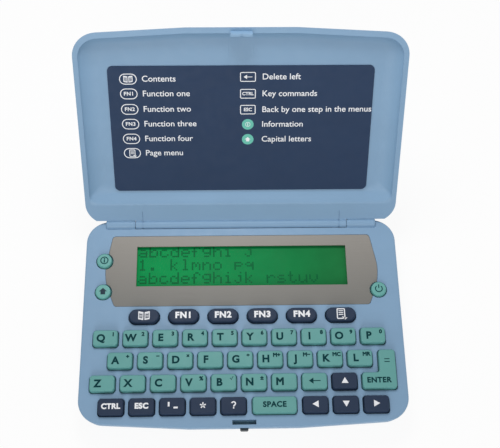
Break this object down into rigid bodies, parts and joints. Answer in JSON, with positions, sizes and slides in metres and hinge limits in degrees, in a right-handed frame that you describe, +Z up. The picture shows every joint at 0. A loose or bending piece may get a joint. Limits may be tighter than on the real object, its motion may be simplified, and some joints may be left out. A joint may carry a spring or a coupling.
{
  "type": "electronic dictionary",
  "caption": "Pocket electronic dictionary: a clamshell case with a letter keyboard, a strip display under a bezel plate, and a hinged lid that carries a printed key guide.",
  "frame": {"origin": "middle of the flat face that the case rests on", "axes": "+Z up; -Y is the side the user sits at; +X runs along the lid's hinge, to the user's right"},
  "size_m": [0.13, 0.1376, 0.0864],
  "materials": {
    "case": "satin moulded plastic",
    "bezel": "satin grey plate",
    "display": "green liquid crystal display",
    "board": "green circuit board",
    "mat": "grey silicone rubber",
    "steel": "plated steel",
    "legend": "dark blue printed plate",
    "latch": "dark moulded plastic",
    "dark_key": "dark blue satin key",
    "teal_key": "teal satin key",
    "round_key": "light teal satin button"
  },
  "bodies": {
    "base": {"base_tray": "case", "deck_shell": "case", "bezel_plate": "bezel", "lcd_panel": "display", "circuit_board": "board", "keypad_mat": "mat", "coin_cells": "steel", "battery_contacts": "steel", "latch_spring": "steel"},
    "lid": {"lid_shell": "case", "legend_plate": "legend"},
    "latch": {"latch_slider": "latch"},
    "door": {"battery_door": "case"},
    "key_function_1": {"key_function_1": "dark_key"},
    "key_function_2": {"key_function_2": "dark_key"},
    "key_function_3": {"key_function_3": "dark_key"},
    "key_function_4": {"key_function_4": "dark_key"},
    "key_function_5": {"key_function_5": "dark_key"},
    "key_function_6": {"key_function_6": "dark_key"},
    "key_control": {"key_control": "dark_key"},
    "key_escape": {"key_escape": "dark_key"},
    "key_apostrophe": {"key_apostrophe": "dark_key"},
    "key_star": {"key_star": "dark_key"},
    "key_question": {"key_question": "dark_key"},
    "key_arrow_left": {"key_arrow_left": "dark_key"},
    "key_arrow_down": {"key_arrow_down": "dark_key"},
    "key_arrow_right": {"key_arrow_right": "dark_key"},
    "key_arrow_up": {"key_arrow_up": "dark_key"},
    "key_q": {"key_q": "teal_key"},
    "key_w": {"key_w": "teal_key"},
    "key_e": {"key_e": "teal_key"},
    "key_r": {"key_r": "teal_key"},
    "key_t": {"key_t": "teal_key"},
    "key_y": {"key_y": "teal_key"},
    "key_u": {"key_u": "teal_key"},
    "key_i": {"key_i": "teal_key"},
    "key_o": {"key_o": "teal_key"},
    "key_p": {"key_p": "teal_key"},
    "key_a": {"key_a": "teal_key"},
    "key_s": {"key_s": "teal_key"},
    "key_d": {"key_d": "teal_key"},
    "key_f": {"key_f": "teal_key"},
    "key_g": {"key_g": "teal_key"},
    "key_h": {"key_h": "teal_key"},
    "key_j": {"key_j": "teal_key"},
    "key_k": {"key_k": "teal_key"},
    "key_l": {"key_l": "teal_key"},
    "key_z": {"key_z": "teal_key"},
    "key_x": {"key_x": "teal_key"},
    "key_c": {"key_c": "teal_key"},
    "key_v": {"key_v": "teal_key"},
    "key_b": {"key_b": "teal_key"},
    "key_n": {"key_n": "teal_key"},
    "key_m": {"key_m": "teal_key"},
    "key_backspace": {"key_backspace": "teal_key"},
    "key_enter": {"key_enter": "teal_key"},
    "key_space": {"key_space": "teal_key"},
    "button_help": {"button_help": "round_key"},
    "button_shift": {"button_shift": "round_key"},
    "button_power": {"button_power": "round_key"}
  },
  "joints": [
    {"name": "lid_hinge", "type": "hinge", "parent": "base", "child": "lid", "pos_m": [0, 0.04285, 0.012], "axis": [1, 0, 0], "range_deg": [0, 122.35]},
    {"name": "latch_push", "type": "slide", "parent": "base", "child": "latch", "axis": [0, 1, 0], "range_m": [0, 0.0006], "stiffness_N_per_m": 1500, "deforming": ["latch_spring"]},
    {"name": "battery_door_slide", "type": "slide", "parent": "base", "child": "door", "axis": [0, 1, 0], "range_m": [0, 0.02]},
    {"name": "key_function_1_press", "type": "slide", "parent": "base", "child": "key_function_1", "axis": [0, 0, -1], "range_m": [0, 0.0009], "stiffness_N_per_m": 800, "deforming": ["keypad_mat"]},
    {"name": "key_function_2_press", "type": "slide", "parent": "base", "child": "key_function_2", "axis": [0, 0, -1], "range_m": [0, 0.0009], "stiffness_N_per_m": 800, "deforming": ["keypad_mat"]},
    {"name": "key_function_3_press", "type": "slide", "parent": "base", "child": "key_function_3", "axis": [0, 0, -1], "range_m": [0, 0.0009], "stiffness_N_per_m": 800, "deforming": ["keypad_mat"]},
    {"name": "key_function_4_press", "type": "slide", "parent": "base", "child": "key_function_4", "axis": [0, 0, -1], "range_m": [0, 0.0009], "stiffness_N_per_m": 800, "deforming": ["keypad_mat"]},
    {"name": "key_function_5_press", "type": "slide", "parent": "base", "child": "key_function_5", "axis": [0, 0, -1], "range_m": [0, 0.0009], "stiffness_N_per_m": 800, "deforming": ["keypad_mat"]},
    {"name": "key_function_6_press", "type": "slide", "parent": "base", "child": "key_function_6", "axis": [0, 0, -1], "range_m": [0, 0.0009], "stiffness_N_per_m": 800, "deforming": ["keypad_mat"]},
    {"name": "key_control_press", "type": "slide", "parent": "base", "child": "key_control", "axis": [0, 0, -1], "range_m": [0, 0.0009], "stiffness_N_per_m": 800, "deforming": ["keypad_mat"]},
    {"name": "key_escape_press", "type": "slide", "parent": "base", "child": "key_escape", "axis": [0, 0, -1], "range_m": [0, 0.0009], "stiffness_N_per_m": 800, "deforming": ["keypad_mat"]},
    {"name": "key_apostrophe_press", "type": "slide", "parent": "base", "child": "key_apostrophe", "axis": [0, 0, -1], "range_m": [0, 0.0009], "stiffness_N_per_m": 800, "deforming": ["keypad_mat"]},
    {"name": "key_star_press", "type": "slide", "parent": "base", "child": "key_star", "axis": [0, 0, -1], "range_m": [0, 0.0009], "stiffness_N_per_m": 800, "deforming": ["keypad_mat"]},
    {"name": "key_question_press", "type": "slide", "parent": "base", "child": "key_question", "axis": [0, 0, -1], "range_m": [0, 0.0009], "stiffness_N_per_m": 800, "deforming": ["keypad_mat"]},
    {"name": "key_arrow_left_press", "type": "slide", "parent": "base", "child": "key_arrow_left", "axis": [0, 0, -1], "range_m": [0, 0.0009], "stiffness_N_per_m": 800, "deforming": ["keypad_mat"]},
    {"name": "key_arrow_down_press", "type": "slide", "parent": "base", "child": "key_arrow_down", "axis": [0, 0, -1], "range_m": [0, 0.0009], "stiffness_N_per_m": 800, "deforming": ["keypad_mat"]},
    {"name": "key_arrow_right_press", "type": "slide", "parent": "base", "child": "key_arrow_right", "axis": [0, 0, -1], "range_m": [0, 0.0009], "stiffness_N_per_m": 800, "deforming": ["keypad_mat"]},
    {"name": "key_arrow_up_press", "type": "slide", "parent": "base", "child": "key_arrow_up", "axis": [0, 0, -1], "range_m": [0, 0.0009], "stiffness_N_per_m": 800, "deforming": ["keypad_mat"]},
    {"name": "key_q_press", "type": "slide", "parent": "base", "child": "key_q", "axis": [0, 0, -1], "range_m": [0, 0.0009], "stiffness_N_per_m": 800, "deforming": ["keypad_mat"]},
    {"name": "key_w_press", "type": "slide", "parent": "base", "child": "key_w", "axis": [0, 0, -1], "range_m": [0, 0.0009], "stiffness_N_per_m": 800, "deforming": ["keypad_mat"]},
    {"name": "key_e_press", "type": "slide", "parent": "base", "child": "key_e", "axis": [0, 0, -1], "range_m": [0, 0.0009], "stiffness_N_per_m": 800, "deforming": ["keypad_mat"]},
    {"name": "key_r_press", "type": "slide", "parent": "base", "child": "key_r", "axis": [0, 0, -1], "range_m": [0, 0.0009], "stiffness_N_per_m": 800, "deforming": ["keypad_mat"]},
    {"name": "key_t_press", "type": "slide", "parent": "base", "child": "key_t", "axis": [0, 0, -1], "range_m": [0, 0.0009], "stiffness_N_per_m": 800, "deforming": ["keypad_mat"]},
    {"name": "key_y_press", "type": "slide", "parent": "base", "child": "key_y", "axis": [0, 0, -1], "range_m": [0, 0.0009], "stiffness_N_per_m": 800, "deforming": ["keypad_mat"]},
    {"name": "key_u_press", "type": "slide", "parent": "base", "child": "key_u", "axis": [0, 0, -1], "range_m": [0, 0.0009], "stiffness_N_per_m": 800, "deforming": ["keypad_mat"]},
    {"name": "key_i_press", "type": "slide", "parent": "base", "child": "key_i", "axis": [0, 0, -1], "range_m": [0, 0.0009], "stiffness_N_per_m": 800, "deforming": ["keypad_mat"]},
    {"name": "key_o_press", "type": "slide", "parent": "base", "child": "key_o", "axis": [0, 0, -1], "range_m": [0, 0.0009], "stiffness_N_per_m": 800, "deforming": ["keypad_mat"]},
    {"name": "key_p_press", "type": "slide", "parent": "base", "child": "key_p", "axis": [0, 0, -1], "range_m": [0, 0.0009], "stiffness_N_per_m": 800, "deforming": ["keypad_mat"]},
    {"name": "key_a_press", "type": "slide", "parent": "base", "child": "key_a", "axis": [0, 0, -1], "range_m": [0, 0.0009], "stiffness_N_per_m": 800, "deforming": ["keypad_mat"]},
    {"name": "key_s_press", "type": "slide", "parent": "base", "child": "key_s", "axis": [0, 0, -1], "range_m": [0, 0.0009], "stiffness_N_per_m": 800, "deforming": ["keypad_mat"]},
    {"name": "key_d_press", "type": "slide", "parent": "base", "child": "key_d", "axis": [0, 0, -1], "range_m": [0, 0.0009], "stiffness_N_per_m": 800, "deforming": ["keypad_mat"]},
    {"name": "key_f_press", "type": "slide", "parent": "base", "child": "key_f", "axis": [0, 0, -1], "range_m": [0, 0.0009], "stiffness_N_per_m": 800, "deforming": ["keypad_mat"]},
    {"name": "key_g_press", "type": "slide", "parent": "base", "child": "key_g", "axis": [0, 0, -1], "range_m": [0, 0.0009], "stiffness_N_per_m": 800, "deforming": ["keypad_mat"]},
    {"name": "key_h_press", "type": "slide", "parent": "base", "child": "key_h", "axis": [0, 0, -1], "range_m": [0, 0.0009], "stiffness_N_per_m": 800, "deforming": ["keypad_mat"]},
    {"name": "key_j_press", "type": "slide", "parent": "base", "child": "key_j", "axis": [0, 0, -1], "range_m": [0, 0.0009], "stiffness_N_per_m": 800, "deforming": ["keypad_mat"]},
    {"name": "key_k_press", "type": "slide", "parent": "base", "child": "key_k", "axis": [0, 0, -1], "range_m": [0, 0.0009], "stiffness_N_per_m": 800, "deforming": ["keypad_mat"]},
    {"name": "key_l_press", "type": "slide", "parent": "base", "child": "key_l", "axis": [0, 0, -1], "range_m": [0, 0.0009], "stiffness_N_per_m": 800, "deforming": ["keypad_mat"]},
    {"name": "key_z_press", "type": "slide", "parent": "base", "child": "key_z", "axis": [0, 0, -1], "range_m": [0, 0.0009], "stiffness_N_per_m": 800, "deforming": ["keypad_mat"]},
    {"name": "key_x_press", "type": "slide", "parent": "base", "child": "key_x", "axis": [0, 0, -1], "range_m": [0, 0.0009], "stiffness_N_per_m": 800, "deforming": ["keypad_mat"]},
    {"name": "key_c_press", "type": "slide", "parent": "base", "child": "key_c", "axis": [0, 0, -1], "range_m": [0, 0.0009], "stiffness_N_per_m": 800, "deforming": ["keypad_mat"]},
    {"name": "key_v_press", "type": "slide", "parent": "base", "child": "key_v", "axis": [0, 0, -1], "range_m": [0, 0.0009], "stiffness_N_per_m": 800, "deforming": ["keypad_mat"]},
    {"name": "key_b_press", "type": "slide", "parent": "base", "child": "key_b", "axis": [0, 0, -1], "range_m": [0, 0.0009], "stiffness_N_per_m": 800, "deforming": ["keypad_mat"]},
    {"name": "key_n_press", "type": "slide", "parent": "base", "child": "key_n", "axis": [0, 0, -1], "range_m": [0, 0.0009], "stiffness_N_per_m": 800, "deforming": ["keypad_mat"]},
    {"name": "key_m_press", "type": "slide", "parent": "base", "child": "key_m", "axis": [0, 0, -1], "range_m": [0, 0.0009], "stiffness_N_per_m": 800, "deforming": ["keypad_mat"]},
    {"name": "key_backspace_press", "type": "slide", "parent": "base", "child": "key_backspace", "axis": [0, 0, -1], "range_m": [0, 0.0009], "stiffness_N_per_m": 800, "deforming": ["keypad_mat"]},
    {"name": "key_enter_press", "type": "slide", "parent": "base", "child": "key_enter", "axis": [0, 0, -1], "range_m": [0, 0.0009], "stiffness_N_per_m": 800, "deforming": ["keypad_mat"]},
    {"name": "key_space_press", "type": "slide", "parent": "base", "child": "key_space", "axis": [0, 0, -1], "range_m": [0, 0.0009], "stiffness_N_per_m": 800, "deforming": ["keypad_mat"]},
    {"name": "button_help_press", "type": "slide", "parent": "base", "child": "button_help", "axis": [0, 0, -1], "range_m": [0, 0.0009], "stiffness_N_per_m": 800, "deforming": ["keypad_mat"]},
    {"name": "button_shift_press", "type": "slide", "parent": "base", "child": "button_shift", "axis": [0, 0, -1], "range_m": [0, 0.0009], "stiffness_N_per_m": 800, "deforming": ["keypad_mat"]},
    {"name": "button_power_press", "type": "slide", "parent": "base", "child": "button_power", "axis": [0, 0, -1], "range_m": [0, 0.0009], "stiffness_N_per_m": 800, "deforming": ["keypad_mat"]}
  ]
}
